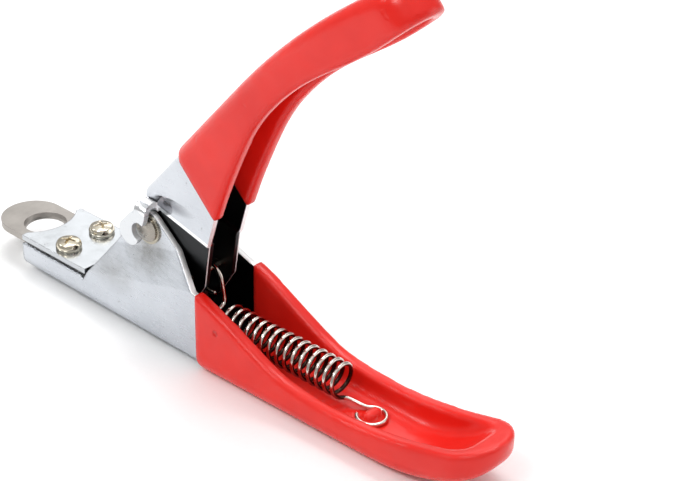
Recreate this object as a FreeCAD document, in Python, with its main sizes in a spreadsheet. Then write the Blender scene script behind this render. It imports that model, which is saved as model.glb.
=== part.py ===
import FreeCAD, Part

import math
import os

from FreeCAD import Placement, Rotation, Vector

# Guillotine nail clipper, millimetres.
# Working axes: X runs from the cover plate's front edge towards the handle ends, Z is up with
# zero under the steel web of the fixed handle, and Y is the pivot axis with zero at mid-width.
# Every node is then placed so that the clipper stands on z = 0 with its box centred on x = 0.

SIZES = {
    # sheet steel and dipped vinyl
    "steel_gauge": 1.2,
    "vinyl_wall": 0.9,
    "bend_radius": 2.6,
    # fixed handle
    "ring_reach": 13.7,
    "frame_reach": 126.3,
    "head_half_width": 8.3,
    "throat_half_width": 8.75,
    "heel_half_width": 7.4,
    "heel_length": 25.3,
    "heel_sweep_radius": 42.0,
    "heel_tip_radius": 8.0,
    "heel_tip_slope": 50.0,
    "strip_height": 5.9,
    "main_grip_start": 55.5,
    "nose_corner_radius": 2.0,
    "notch_length": 1.4,
    "notch_ramp": 1.2,
    "notch_depth": 0.7,
    "throat_lead": 1.2,
    "rim_front_height": 16.6,
    "rim_neck_height": 14.7,
    "rim_shoulder_height": 10.3,
    "rim_waist_height": 6.4,
    "rim_low_height": 5.2,
    "rim_rise_height": 5.8,
    "rim_climb_height": 8.4,
    "rim_heel_height": 12.2,
    "scoop_length": 25.4,
    "scoop_radius": 30.3,
    "palm_bend_radius": 2.4,
    "ear_foot": 21.6,
    "ear_foot_height": 7.4,
    "ear_tip_radius": 3.8,
    "ear_half_width": 5.9,
    "ear_flat_start": 7.4,
    # pivot
    "pivot_reach": 39.0,
    "pivot_height": 24.2,
    "rivet_radius": 2.0,
    "rivet_head_radius": 2.8,
    "rivet_head_height": 0.9,
    "rivet_crown_radius": 1.26,
    "rivet_rim_height": 0.32,
    "washer_radius": 3.4,
    "washer_thickness": 0.4,
    "running_gap": 0.05,
    "side_gap": 0.2,
    "slide_gap": 0.1,
    # lever
    "lever_angle": 45.0,
    "lever_half_width": 5.0,
    "lever_grip_half_width": 5.2,
    "arm_half_width": 4.3,
    "lever_reach": 92.0,
    "lever_web_start": 3.6,
    "lever_web_depth": 7.0,
    "lever_back_slope": 0.055,
    "lever_back_straight": 45.0,
    "lever_back_radius": 152.0,
    "lever_grip_start": 19.2,
    "lever_shoulder": 5.15,
    "lever_shoulder_angle": 13.2,
    "shoulder_drop": 0.5,
    "rim_corner_drop": 6.7,
    "rim_crest_height": 3.4,
    "rim_tip_drop": 0.7,
    "eye_radius": 4.3,
    "arm_length": 17.5,
    "swing_angle": 34.0,
    "arm_tip_radius": 2.6,
    "drive_pin_radius": 1.25,
    "anchor_pin_radius": 1.0,
    "arm_toe_back": 10.6,
    "arm_toe_drop": 14.3,
    "arm_knee_back": 14.4,
    "arm_knee_drop": 8.5,
    "arm_top_back": 15.9,
    "arm_top_rise": 0.9,
    "anchor_back": 10.2,
    "anchor_drop": 7.9,
    "lug_width": 5.6,
    "lug_forward": 3.0,
    "lug_drop": 1.1,
    "lug_neck_width": 3.2,
    "lug_neck_back": 0.3,
    "lug_neck_rise": 4.1,
    # cutting head
    "guide_setback": 0.6,
    "guide_length": 21.4,
    "guide_height": 4.0,
    "guide_pocket_length": 9.6,
    "ring_thickness": 1.5,
    "ring_hole_radius": 4.7,
    "ring_hole_centre": 2.4,
    "ring_bevel": 0.4,
    "ring_bevel_depth": 0.9,
    "cover_length": 20.7,
    "cover_thickness": 1.2,
    "cover_arc_radius": 9.4,
    "cover_arc_depth": 2.9,
    "blade_thickness": 1.1,
    "blade_half_width": 4.6,
    "blade_head_length": 5.6,
    "blade_length": 17.6,
    "blade_setback": 2.6,
    "blade_neck": 1.0,
    "blade_bevel": 0.9,
    "blade_land": 0.17,
    "stem_half_width": 2.5,
    "carrier_thickness": 1.0,
    "carrier_start": 12.0,
    "fork_cheek": 1.6,
    "fork_rise": 9.4,
    "fork_gap": 0.08,
    "fork_floor_gap": 0.3,
    "stud_radius": 1.4,
    "stud_offset": 13.4,
    "screw_radius": 1.5,
    "screw_head_radius": 2.8,
    "screw_head_height": 2.0,
    "screw_recess_length": 3.1,
    "screw_recess_width": 0.7,
    "screw_recess_depth": 1.1,
    "screw_floor_gap": 0.6,
    "screw_reach": 11.3,
    "screw_spread": 4.6,
    # return spring
    "wire_radius": 0.43,
    "coil_radius": 3.37,
    "coil_start": 54.7,
    "coil_length": 33.0,
    "coil_turns": 15.5,
    "coil_height": 7.2,
    "end_lap": 0.3,
    "knee_swell": 0.03,
    "hook_turn": 285.0,
    "loop_start": 150.0,
    "loop_turn": 300.0,
    "tab_reach": 94.0,
    "tab_half_width": 1.5,
    "tab_height": 3.4,
    "tab_coat": 0.6,
}

doc = FreeCAD.newDocument("NailClipper")
sheet = doc.addObject("Spreadsheet::Sheet", "Sizes")
for row, (alias, value) in enumerate(SIZES.items(), start=1):
    sheet.set("A%d" % row, alias)
    sheet.set("B%d" % row, str(value))
    sheet.setAlias("B%d" % row, alias)
doc.recompute()


def size(alias):
    """One driving dimension, read back from the spreadsheet."""
    return float(sheet.get(alias))


GAUGE = size("steel_gauge")
VINYL = size("vinyl_wall")
GAP = size("running_gap")
PIVOT = Vector(size("pivot_reach"), 0, size("pivot_height"))
SHIFT_X = "(Sizes.ring_reach - Sizes.frame_reach) / 2"
LIFT_Z = "Sizes.vinyl_wall"
HOME = Placement(Vector((size("ring_reach") - size("frame_reach")) / 2, 0, VINYL), Rotation())
# Cutting shapes: their half size, how far the handle's outline starts ahead of the nose and past
# which its front cap is left behind, and how far the lever's outline runs past both of its ends.
BIG = size("frame_reach") / 2
LEAD = 10.0
FRONT_CAP = 1.0 - LEAD
OVERRUN = 12.0

nodes = []


# ---------------------------------------------------------------- document helpers


def add_primitive(kind, name, sizes, base=("0", "0", "0"), turn=None):
    """A Part primitive whose properties and position are bound to sheet expressions."""
    item = doc.addObject("Part::" + kind, name)
    for prop, expression in sizes.items():
        item.setExpression(prop, expression)
    if turn:
        item.Placement = Placement(Vector(), Rotation(*turn))
    for axis, expression in zip("xyz", base):
        item.setExpression("Placement.Base." + axis, expression)
    return item


def add_box(name, low, length, width, height):
    return add_primitive("Box", name, {"Length": length, "Width": width, "Height": height}, low)


def add_post(name, radius, height, base):
    return add_primitive("Cylinder", name, {"Radius": radius, "Height": height}, base)


def fuse(name, pieces):
    item = doc.addObject("Part::MultiFuse", name)
    item.Shapes = pieces
    item.Refine = True
    return item


def cut(name, base, tools):
    item = doc.addObject("Part::Cut", name)
    item.Base = base
    item.Tool = tools[0] if len(tools) == 1 else fuse(name + "_tools", tools)
    item.Refine = True
    return item


def finish_node(item, label, base=None):
    """Name a sub-part and seat it in the clipper's own frame."""
    item.Label = label
    where = base or (SHIFT_X, "0", LIFT_Z)
    for axis, expression in zip("xyz", where):
        item.setExpression("Placement.Base." + axis, expression)
    nodes.append(item)
    return item


def add_shape_node(label, shape):
    """A sub-part built with Part's own functions, placed after its shape is set."""
    item = doc.addObject("Part::Feature", label + "_shape")
    item.Label = label
    item.Shape = shape
    item.Placement = HOME
    nodes.append(item)
    return item


# ---------------------------------------------------------------- geometry helpers


def wire_face(edges):
    return Part.Face(Part.Wire(Part.__sortEdges__(edges)))


def polygon_face(points):
    return Part.Face(Part.makePolygon(list(points) + [points[0]]))


def prism_y(face, half=BIG):
    """Extrude a face that lies in the X-Z plane to both sides of mid-width."""
    moved = face.translated(Vector(0, -half, 0))
    return moved.extrude(Vector(0, 2 * half, 0))


def line(a, b):
    return Part.LineSegment(a, b).toShape()


def arc(a, middle, b):
    return Part.Arc(a, middle, b).toShape()


def spline(points):
    curve = Part.BSplineCurve()
    curve.interpolate(points)
    return curve.toShape()


def side_point(x, z):
    return Vector(x, 0, z)


def on_circle(centre, radius, degrees):
    turn = math.radians(degrees)
    return centre + Vector(math.cos(turn), 0, math.sin(turn)) * radius


def bearing(a, b):
    return math.degrees(math.atan2(b.z - a.z, b.x - a.x))


def tangent_bearing(point, centre, radius, side):
    """Direction from the circle's centre to where a line from the point touches it."""
    reach = centre.distanceToPoint(point)
    return bearing(centre, point) + side * math.degrees(math.acos(radius / reach))


def rounded_outline(stops):
    """A closed face through stops: points, or (centre, radius, start, end) arcs in degrees."""
    edges = []
    first = last = None
    for stop in stops:
        if isinstance(stop, Vector):
            start = end = stop
        else:
            centre, radius, from_deg, to_deg = stop
            start = on_circle(centre, radius, from_deg)
            end = on_circle(centre, radius, to_deg)
        if last is not None and last.distanceToPoint(start) > 1e-6:
            edges.append(line(last, start))
        if start is not end:
            middle = on_circle(centre, radius, (from_deg + to_deg) / 2)
            edges.append(arc(start, middle, end))
        first = first or start
        last = end
    edges.append(line(last, first))
    return wire_face(edges)


def hull_of_circles(a, radius_a, b, radius_b):
    """The flat link that two round ends and their common tangents enclose."""
    heading = bearing(a, b)
    lean = math.degrees(math.acos((radius_a - radius_b) / a.distanceToPoint(b)))
    return rounded_outline([
        (a, radius_a, heading + lean, heading + 360 - lean),
        (b, radius_b, heading - lean, heading + lean),
    ])


def bead_edges(shape, on_bottom):
    """Edges where the channel's web turns into its walls."""
    picked = []
    for edge in shape.Edges:
        middle = edge.valueAt((edge.FirstParameter + edge.LastParameter) / 2)
        ends = [edge.valueAt(edge.FirstParameter), edge.valueAt(edge.LastParameter)]
        if all(on_bottom(p) for p in ends + [middle]) and abs(middle.y) > 0.5:
            picked.append(edge)
    return picked


# ---------------------------------------------------------------- fixed handle

HEEL_START = size("frame_reach") - size("heel_length")
HEEL_END = size("frame_reach") - VINYL


def heel_curve(offset):
    """The web's rise to the rounded tip: the sweep's join and the arcs' centres."""
    sweep = size("heel_sweep_radius") + offset
    tip = size("heel_tip_radius") + offset
    centre = side_point(HEEL_START, size("heel_sweep_radius"))
    tip_x = HEEL_END + VINYL - size("heel_tip_radius")
    swing = math.asin((tip_x - HEEL_START) / (size("heel_sweep_radius") - size("heel_tip_radius")))
    tip_centre = centre + Vector(math.sin(swing), 0, -math.cos(swing)) * (sweep - tip)
    return centre, sweep, tip_centre, tip, math.degrees(swing)


def main_side_face(offset):
    """The fixed handle's side view, open upwards, grown by an offset."""
    centre, sweep, tip_centre, tip, swing = heel_curve(offset)
    steepest = 270 + size("heel_tip_slope")
    climb = math.radians(size("heel_tip_slope"))
    lip = on_circle(tip_centre, tip, steepest)
    return rounded_outline([
        side_point(-LEAD, BIG),
        side_point(-LEAD, -offset),
        side_point(HEEL_START, -offset),
        (centre, sweep, 270, 270 + swing),
        (tip_centre, tip, 270 + swing, steepest),
        lip + Vector(math.cos(climb), 0, math.sin(climb)) * BIG,
    ])


def main_plan_solid(offset):
    """The fixed handle's plan view: head, throat and a rounded heel, grown by an offset."""
    heel = size("heel_half_width") + offset
    centre_x = HEEL_END - size("heel_half_width")
    head = Vector(-LEAD, size("head_half_width") + offset, -BIG)
    throat = Vector(size("main_grip_start"), size("throat_half_width") + offset, -BIG)
    heel_point = Vector(centre_x, heel, -BIG)
    flip = [Vector(p.x, -p.y, p.z) for p in (head, throat, heel_point)]
    edges = [
        line(flip[0], head),
        line(head, throat),
        line(throat, heel_point),
        arc(heel_point, Vector(centre_x + heel, 0, -BIG), flip[2]),
        line(flip[2], flip[1]),
        line(flip[1], flip[0]),
    ]
    return wire_face(edges).extrude(Vector(0, 0, 3 * BIG))


EAR_FOOT = side_point(size("ear_foot"), size("ear_foot_height"))
THROAT = side_point(size("main_grip_start") - size("throat_lead"), size("rim_front_height"))


def narrowing_prism(start, degrees, wide, narrow, run, rise, offset):
    """Walls that lean in from a bend line and stand upright again at a narrower width."""
    slope = (wide - narrow) / run
    lean = math.sqrt(1 + slope * slope)
    top = (wide - narrow + offset * (lean - 1)) / slope
    low = (wide - BIG + offset * lean) / slope
    points = [(BIG, -4 * BIG), (BIG, low), (narrow + offset, top), (narrow + offset, rise)]
    ring = [Vector(-2 * BIG, y, n) for y, n in points]
    ring += [Vector(-2 * BIG, -y, n) for y, n in reversed(points)]
    solid = polygon_face(ring).extrude(Vector(6 * BIG, 0, 0))
    solid.rotate(Vector(), Vector(0, 1, 0), -degrees)
    return solid.translated(start)


def ear_prism(offset):
    """Ears lean in above a line from their foot to the throat; the nose ahead of them doesn't."""
    ears = narrowing_prism(
        EAR_FOOT,
        bearing(EAR_FOOT, THROAT),
        size("throat_half_width"),
        size("ear_half_width"),
        size("ear_flat_start"),
        4 * BIG,
        offset,
    )
    nose = Part.makeBox(3 * BIG, 4 * BIG, 6 * BIG, Vector(EAR_FOOT.x - 3 * BIG, -2 * BIG, -2 * BIG))
    return ears.cut(nose).fuse(nose).removeSplitter()


def main_hull(offset):
    """Everything inside the fixed handle's outer skin, open at the nose and upwards."""
    block = prism_y(main_side_face(offset)).common(main_plan_solid(offset))
    floor = main_side_face(offset).OuterWire

    def on_web(p):
        spot = Part.Vertex(Vector(p.x, 0, p.z))
        return p.x > FRONT_CAP and floor.distToShape(spot)[0] < 1e-4 or abs(p.z + offset) < 1e-4

    radius = size("bend_radius") + offset
    return block.makeFillet(radius, bead_edges(block, on_web))


def palm_hollow():
    """The room inside the fixed grip: soft bends along its floor and a scoop up to the heel."""
    floor = GAUGE + VINYL
    start = HEEL_END - size("scoop_length")
    centre = side_point(start, floor + size("scoop_radius"))
    face = rounded_outline([
        side_point(-LEAD, BIG),
        side_point(-LEAD, floor),
        side_point(start, floor),
        (centre, size("scoop_radius"), 270, 320),
        on_circle(centre, size("scoop_radius"), 320) + Vector(BIG, 0, BIG),
    ])
    block = prism_y(face).common(main_plan_solid(-floor))

    def on_floor(p):
        sunk = abs(p.z - floor) < 1e-4 and p.x > FRONT_CAP
        scooped = abs(Vector(p.x, 0, p.z).distanceToPoint(centre) - size("scoop_radius")) < 1e-4
        return sunk or scooped and p.x < HEEL_END - size("heel_half_width")

    return block.makeFillet(size("palm_bend_radius"), bead_edges(block, on_floor))


# How far the rim's line runs on past the heel before it is cut.
RIM_RUNOUT = 3.0

# Stations of the rim, as shares of the way from the grip's front to its heel, and their heights.
RIM_STATIONS = (
    (0.851, "rim_climb_height"),
    (0.665, "rim_rise_height"),
    (0.479, "rim_low_height"),
    (0.336, "rim_waist_height"),
    (0.200, "rim_shoulder_height"),
    (0.064, "rim_neck_height"),
)


def rim_edges(lift):
    """The grip's rim from the heel forward to the throat, raised by a lift."""
    front = size("main_grip_start")
    spots = [side_point(HEEL_END + RIM_RUNOUT, size("rim_heel_height") + lift)]
    for share, height in RIM_STATIONS:
        spots.append(side_point(front + share * (HEEL_END - front), size(height) + lift))
    spots.append(side_point(THROAT.x, THROAT.z + lift))
    return spline(spots), spots


def main_trim(lift):
    """What lies under the fixed handle's top edge: strip, ear, throat and grip rim."""
    rim, spots = rim_edges(lift)
    ear = size("ear_tip_radius")
    strip = size("strip_height")
    front = on_circle(PIVOT, ear, tangent_bearing(EAR_FOOT, PIVOT, ear, -1))
    top = on_circle(PIVOT, ear, 90)
    rear = on_circle(PIVOT, ear, tangent_bearing(THROAT, PIVOT, ear, 1))
    corner = size("nose_corner_radius")
    bow = corner * (1 - math.sqrt(0.5))
    notch = side_point(EAR_FOOT.x - size("notch_length"), strip - size("notch_depth"))
    step = side_point(notch.x - size("notch_ramp"), strip)
    edges = [
        rim,
        line(spots[-1], THROAT) if lift else None,
        line(THROAT, rear),
        arc(rear, top, front),
        line(front, EAR_FOOT),
        line(EAR_FOOT, notch),
        line(notch, step),
        line(step, side_point(0, strip)),
        line(side_point(0, strip), side_point(0, corner)),
        arc(side_point(0, corner), side_point(bow, bow), side_point(corner, 0)),
        line(side_point(corner, 0), side_point(corner, -LEAD)),
        line(side_point(corner, -LEAD), side_point(HEEL_END + RIM_RUNOUT, -LEAD)),
        line(side_point(HEEL_END + RIM_RUNOUT, -LEAD), spots[0]),
    ]
    return prism_y(wire_face([e for e in edges if e]), 2 * BIG)


TAB_REAR = size("tab_reach") + GAUGE


def spring_tab(grow):
    """The tongue lanced up from the web that the spring's rear loop hooks round."""
    half = size("tab_half_width") + grow
    low = Vector(size("tab_reach") - grow, -half, GAUGE / 2)
    return Part.makeBox(GAUGE + 2 * grow, 2 * half, size("tab_height") + grow - GAUGE / 2, low)


def make_main_frame():
    walls = main_hull(0).common(ear_prism(0))
    hollow = main_hull(-GAUGE).common(ear_prism(-GAUGE))
    shell = walls.cut(hollow).common(main_trim(0))
    rivet_hole = Part.makeCylinder(
        size("rivet_radius") + GAP, 2 * BIG, PIVOT - Vector(0, BIG, 0), Vector(0, 1, 0)
    )
    window_length = size("tab_height") - GAUGE
    window = Part.makeBox(
        window_length, 2 * size("tab_half_width"), 3 * GAUGE,
        Vector(TAB_REAR, -size("tab_half_width"), -GAUGE),
    )
    return shell.fuse(spring_tab(0)).cut(Part.makeCompound([rivet_hole, window])).removeSplitter()


def make_main_grip(frame):
    start = Part.makeBox(4 * BIG, 4 * BIG, 4 * BIG, Vector(size("main_grip_start"), -2 * BIG, -BIG))
    skin = main_hull(VINYL).cut(palm_hollow()).common(main_trim(VINYL)).common(start)
    return skin.fuse(spring_tab(size("tab_coat"))).cut(frame).removeSplitter()


# ---------------------------------------------------------------- lever


TURN = math.radians(size("lever_angle"))
ALONG = Vector(math.cos(TURN), 0, math.sin(TURN))
ABOVE = Vector(-math.sin(TURN), 0, math.cos(TURN))
LEVER_TIP = size("lever_reach")
BACK_JOIN = size("lever_back_straight")
BACK_SLOPE = math.atan(size("lever_back_slope"))
SWING = math.radians(size("swing_angle"))
DRIVE = PIVOT + Vector(math.sin(SWING / 2), 0, -math.cos(SWING / 2)) * size("arm_length")
ANCHOR = PIVOT + Vector(size("anchor_back"), 0, -size("anchor_drop"))


def lever_point(along, above):
    return PIVOT + ALONG * along + ABOVE * above


def back_curve(offset):
    """The lever's outer web: a straight run and a long arc, grown by an offset."""
    lift = size("lever_web_depth") + offset
    radius = size("lever_back_radius") + offset
    join = lever_point(BACK_JOIN, lift + BACK_JOIN * math.tan(BACK_SLOPE))
    start = lever_point(0, lift)
    inward = ALONG * math.sin(BACK_SLOPE) - ABOVE * math.cos(BACK_SLOPE)
    centre = join + inward * radius
    return start, join, centre, radius


def lever_side_face(offset):
    """The lever's side view, open towards the fixed handle, grown by an offset."""
    start, join, centre, radius = back_curve(offset)
    lead = (start - join).normalize() * OVERRUN
    reach = bearing(centre, join)
    sweep = math.degrees((LEVER_TIP + OVERRUN - BACK_JOIN) / radius)
    end = on_circle(centre, radius, reach - sweep)
    middle = on_circle(centre, radius, reach - sweep / 2)
    low_end = lever_point(LEVER_TIP + OVERRUN, -BIG)
    low_start = lever_point(-OVERRUN, -BIG)
    edges = [
        line(start + lead, join),
        arc(join, middle, end),
        line(end, low_end),
        line(low_end, low_start),
        line(low_start, start + lead),
    ]
    return wire_face(edges)


def lever_plan_solid(offset):
    """The lever's plan view along its own length, with a rounded tip."""
    root = size("lever_half_width") + offset
    grip = size("lever_grip_half_width") + offset
    centre = LEVER_TIP - size("lever_grip_half_width")
    flat = [(-BIG, root), (size("lever_grip_start"), root), (BACK_JOIN, grip), (centre, grip)]

    def place(along, y):
        return lever_point(along, -BIG) + Vector(0, y, 0)

    rail = [place(a, y) for a, y in flat]
    flip = [place(a, -y) for a, y in flat]
    edges = [line(flip[0], rail[0])]
    edges += [line(rail[i], rail[i + 1]) for i in range(3)]
    edges += [line(flip[i], flip[i + 1]) for i in range(3)]
    edges.append(arc(rail[3], place(centre + grip, 0), flip[3]))
    return wire_face(edges).extrude(ABOVE * (2 * BIG))


def shoulder_prism(offset):
    """Narrows the lever to its arms below the shoulder line beside the ears."""
    slope = math.radians(size("lever_shoulder_angle"))
    away = Vector(math.sin(slope), 0, math.cos(slope))
    return narrowing_prism(
        PIVOT + away * size("lever_shoulder"),
        180 - size("lever_shoulder_angle"),
        size("lever_half_width"),
        size("arm_half_width"),
        size("shoulder_drop"),
        4 * BIG,
        offset,
    )


def lever_hull(offset):
    """Everything inside the lever's outer skin, open towards the fixed handle."""
    block = prism_y(lever_side_face(offset)).common(lever_plan_solid(offset))
    start, join, centre, radius = back_curve(offset)
    normal = (join - start).normalize().cross(Vector(0, 1, 0))

    def on_back(p):
        flat = abs((p - join).dot(normal)) < 1e-4
        curved = abs(p.distanceToPoint(Vector(centre.x, p.y, centre.z)) - radius) < 1e-4
        return flat or curved

    return block.makeFillet(size("bend_radius") + offset, bead_edges(block, on_back))


# Stations of the lever's rim, as shares of the way from the grip's front to its tip. The height
# of each is a share of the way up from the front corner to the crest, and past the crest down
# to the tip.
LEVER_RIM_RISE = (
    (0.0, 0.0), (0.100, 0.327), (0.192, 0.584), (0.258, 0.752), (0.345, 0.921), (0.437, 1.0)
)
LEVER_RIM_FALL = ((0.602, 0.122), (0.780, 0.707), (0.890, 0.951), (1.055, 1.0))


def lever_rim(drop):
    """The lever grip's rim from its front corner out to the tip, lowered by a drop."""
    front = size("lever_grip_start")
    run = LEVER_TIP - front
    low = -size("rim_corner_drop")
    crest = size("rim_crest_height")
    tip = -size("rim_tip_drop")
    spots = [(front + a * run, low + h * (crest - low)) for a, h in LEVER_RIM_RISE]
    spots += [(front + a * run, crest + h * (tip - crest)) for a, h in LEVER_RIM_FALL]
    return [lever_point(along, above - drop) for along, above in spots]


def lever_trim(drop):
    """What lies above the lever's lower edge: web end, pivot eye, arm, and grip rim."""
    rim = lever_rim(drop)
    eye = size("eye_radius")
    tip = size("arm_tip_radius")
    corner = lever_point(size("lever_grip_start"), -size("rim_corner_drop"))
    web_front = lever_point(size("lever_web_start"), size("lever_web_depth") - GAUGE)
    web_top = lever_point(size("lever_web_start"), BIG)
    rim_top = lever_point((rim[-1] - PIVOT).dot(ALONG), BIG)
    eye_start = tangent_bearing(web_front, PIVOT, eye, 1)
    heading = bearing(PIVOT, DRIVE)
    lean = math.degrees(math.acos((eye - tip) / PIVOT.distanceToPoint(DRIVE)))
    rear_low = PIVOT + Vector(size("arm_toe_back"), 0, -size("arm_toe_drop"))
    rear_high = PIVOT + Vector(size("arm_knee_back"), 0, -size("arm_knee_drop"))
    rear_top = PIVOT + Vector(size("arm_top_back"), 0, size("arm_top_rise"))
    tip_end = tangent_bearing(rear_low, DRIVE, tip, -1)
    edges = [
        line(web_top, web_front),
        line(web_front, on_circle(PIVOT, eye, eye_start)),
        arc(
            on_circle(PIVOT, eye, eye_start),
            on_circle(PIVOT, eye, (eye_start + heading + 360 - lean) / 2),
            on_circle(PIVOT, eye, heading + 360 - lean),
        ),
        line(on_circle(PIVOT, eye, heading + 360 - lean), on_circle(DRIVE, tip, heading + 360 - lean)),
        arc(
            on_circle(DRIVE, tip, heading + 360 - lean),
            on_circle(DRIVE, tip, (heading - lean + tip_end) / 2),
            on_circle(DRIVE, tip, tip_end),
        ),
        line(on_circle(DRIVE, tip, tip_end), rear_low),
        line(rear_low, rear_high),
        line(rear_high, rear_top),
        line(rear_top, corner),
        line(corner, rim[0]) if drop else None,
        spline(rim),
        line(rim[-1], rim_top),
        line(rim_top, web_top),
    ]
    return prism_y(wire_face([e for e in edges if e]), 2 * BIG)


LUG_INNER = (
    size("ear_half_width") + size("washer_thickness") + size("rivet_head_height") + size("side_gap")
)


def lever_lug(side):
    """The tongue that curls out over the ear's edge and hangs outside the rivet head."""
    half = size("lug_neck_width") / 2
    neck = PIVOT + Vector(size("lug_neck_back"), 0, size("lug_neck_rise"))
    low = PIVOT - Vector(size("lug_forward"), 0, size("lug_drop"))
    below = Part.makeBox(4 * BIG, 4 * BIG, 4 * BIG, Vector(-BIG, -2 * BIG, neck.z - 4 * BIG))
    tongue = hull_of_circles(low, size("lug_width") / 2, neck, half)
    plate = tongue.translated(Vector(0, LUG_INNER, 0)).extrude(Vector(0, GAUGE, 0)).common(below)
    inner = (LUG_INNER - size("lever_half_width")) / 2
    base = neck + Vector(-half, size("lever_half_width") + inner, 0)
    pipe = Part.makeCylinder(inner + GAUGE, 2 * half, base, Vector(1, 0, 0))
    bore = Part.makeCylinder(inner, 2 * half, base, Vector(1, 0, 0))
    lug = plate.fuse(pipe.cut(bore).cut(below))
    return lug if side > 0 else lug.mirror(Vector(), Vector(0, 1, 0))


def cross_hole(centre, radius):
    return Part.makeCylinder(radius, 2 * BIG, centre - Vector(0, BIG, 0), Vector(0, 1, 0))


def make_lever_frame():
    skin = lever_hull(0).common(shoulder_prism(0))
    hollow = lever_hull(-GAUGE).common(shoulder_prism(-GAUGE))
    shell = skin.cut(hollow).common(lever_trim(0))
    shell = shell.fuse([lever_lug(1), lever_lug(-1)])
    holes = [
        cross_hole(PIVOT, size("rivet_radius") + GAP),
        cross_hole(DRIVE, size("drive_pin_radius")),
        cross_hole(ANCHOR, size("anchor_pin_radius")),
    ]
    return shell.cut(Part.makeCompound(holes)).removeSplitter()


def make_lever_grip(frame):
    start = Part.makeBox(4 * BIG, 4 * BIG, 4 * BIG, Vector(0, -2 * BIG, -2 * BIG))
    start.rotate(Vector(), Vector(0, 1, 0), -size("lever_angle"))
    start.translate(lever_point(size("lever_grip_start"), 0))
    skin = lever_hull(VINYL).cut(lever_hull(-GAUGE - VINYL)).common(lever_trim(VINYL)).common(start)
    return skin.cut(frame).removeSplitter()


# ---------------------------------------------------------------- return spring


def swept_wire(edges, radius):
    """A round wire of the spring, swept along a path."""
    path = Part.Wire(edges)
    start = path.Edges[0].valueAt(path.Edges[0].FirstParameter)
    heading = path.Edges[0].tangentAt(path.Edges[0].FirstParameter)
    section = Part.Wire(Part.makeCircle(radius, start, heading))
    return path.makePipeShell([section], True, True)


def make_return_spring():
    """An open extension coil with a hook over the anchor pin and a loop round the tab."""
    wire = size("wire_radius")
    coil = size("coil_radius")
    turn = size("hook_turn")
    pitch = size("coil_length") / size("coil_turns")
    helix = Part.makeHelix(pitch, size("coil_length"), coil)
    helix.rotate(Vector(), Vector(0, 1, 0), 90)
    helix.rotate(Vector(), Vector(1, 0, 0), 180)
    helix.translate(Vector(size("coil_start"), 0, size("coil_height")))
    winding = helix.Edges[0]
    lap = size("end_lap") * (winding.LastParameter - winding.FirstParameter) / winding.Length
    first = winding.valueAt(winding.FirstParameter + lap)
    last = winding.valueAt(winding.LastParameter - lap)

    foot = side_point(first.x, first.z)
    pull = (foot - ANCHOR).normalize()
    hook_centre = ANCHOR + pull * (coil - wire - size("anchor_pin_radius") - GAP)
    touch = tangent_bearing(foot, hook_centre, coil, 1)
    hook = [
        line(first, on_circle(hook_centre, coil, touch)),
        arc(
            on_circle(hook_centre, coil, touch),
            on_circle(hook_centre, coil, touch + turn / 2),
            on_circle(hook_centre, coil, touch + turn),
        ),
    ]

    coat = size("tab_coat")
    loop_radius = math.hypot(size("tab_half_width") + coat, GAUGE / 2 + coat) + wire + 2 * GAP
    centre = Vector(TAB_REAR - GAUGE / 2, 0, GAUGE + VINYL + wire + 2 * GAP)

    def on_loop(share):
        bend = math.radians(size("loop_start") - share * size("loop_turn"))
        return centre + Vector(math.cos(bend), math.sin(bend), 0) * loop_radius

    loop = [line(last, on_loop(0)), arc(on_loop(0), on_loop(0.5), on_loop(1))]

    runs = (hook, loop[:1], loop[1:])
    knees = [Part.makeSphere(wire + size("knee_swell"), spot) for spot in (first, last, on_loop(0))]
    coiled = swept_wire(helix.Edges, wire)
    return coiled.fuse([swept_wire(run, wire) for run in runs] + knees).removeSplitter()


# ---------------------------------------------------------------- turned pieces


def turned(centre, outline):
    """A solid of revolution about a cross axis, from (radius, distance along Y) corners."""
    face = polygon_face([centre + Vector(r, y, 0) for r, y in outline])
    return face.revolve(centre, Vector(0, 1, 0), 360)


def make_pivot_rivet():
    """A solid rivet through both ears and both arms, with a low domed head at each end."""
    seat = size("ear_half_width") + size("washer_thickness")
    head = size("rivet_head_radius")
    rise = size("rivet_head_height")
    shank = size("rivet_radius")
    crown = size("rivet_crown_radius")
    top = seat + rise
    half = [(0, top), (crown, top), (head, seat + size("rivet_rim_height")), (head, seat), (shank, seat)]
    return turned(PIVOT, [(r, -y) for r, y in half] + half[::-1])


PIN_BEVEL_SHARE = 0.25


def make_pin(centre, radius, half_length):
    """A plain pin staked flush in both arms, with a small bevel on each end."""
    bevel = radius * PIN_BEVEL_SHARE
    half = [(0, half_length), (radius - bevel, half_length), (radius, half_length - bevel)]
    return turned(centre, [(r, -y) for r, y in half] + half[::-1])


# ---------------------------------------------------------------- cutting head
# Heights above the steel web, from the web up: guide, ring plate, cover plate.

GUIDE_TOP = "(Sizes.steel_gauge + Sizes.guide_height)"
RING_TOP = "(Sizes.steel_gauge + Sizes.guide_height + Sizes.ring_thickness)"
COVER_TOP = "(Sizes.steel_gauge + Sizes.guide_height + Sizes.ring_thickness + Sizes.cover_thickness)"
BLADE_TOP = "(Sizes.steel_gauge + Sizes.guide_height - Sizes.running_gap)"
BLADE_LOW = "(Sizes.steel_gauge + Sizes.guide_height - Sizes.running_gap - Sizes.blade_thickness)"
CARRIER_LOW = "(Sizes.steel_gauge + Sizes.guide_height - Sizes.running_gap - Sizes.blade_thickness" \
              " - Sizes.carrier_thickness)"
BED_HALF = "(Sizes.head_half_width - Sizes.steel_gauge - 2 * Sizes.running_gap)"
BEND_ROOM = "(Sizes.bend_radius - Sizes.steel_gauge)"
SCREW_SPOTS = (("near", "-Sizes.screw_spread"), ("far", "Sizes.screw_spread"))


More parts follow.
